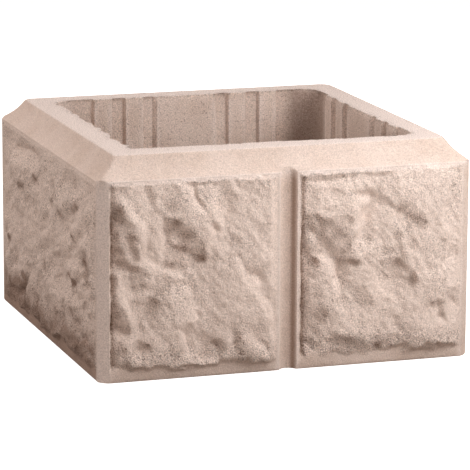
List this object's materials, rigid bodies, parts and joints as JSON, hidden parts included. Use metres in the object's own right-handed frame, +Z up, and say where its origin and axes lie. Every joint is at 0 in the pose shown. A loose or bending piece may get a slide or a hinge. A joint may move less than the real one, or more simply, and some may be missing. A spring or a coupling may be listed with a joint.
{
  "type": "pillar block",
  "caption": "Square hollow pillar block in cast concrete with rock-faced sides, false joints and a weathered top edge, stacked to build a pier.",
  "frame": {"origin": "middle of the block's bottom, on the level it stands on", "axes": "+Z up through the hollow; the two faces with a false joint look along -Y (front) and +Y (back), and the plain flanks along -X and +X"},
  "size_m": [0.366, 0.366, 0.2],
  "materials": {
    "concrete": "matte"
  },
  "bodies": {
    "root": {"pillar_block": "concrete"}
  },
  "joints": []
}
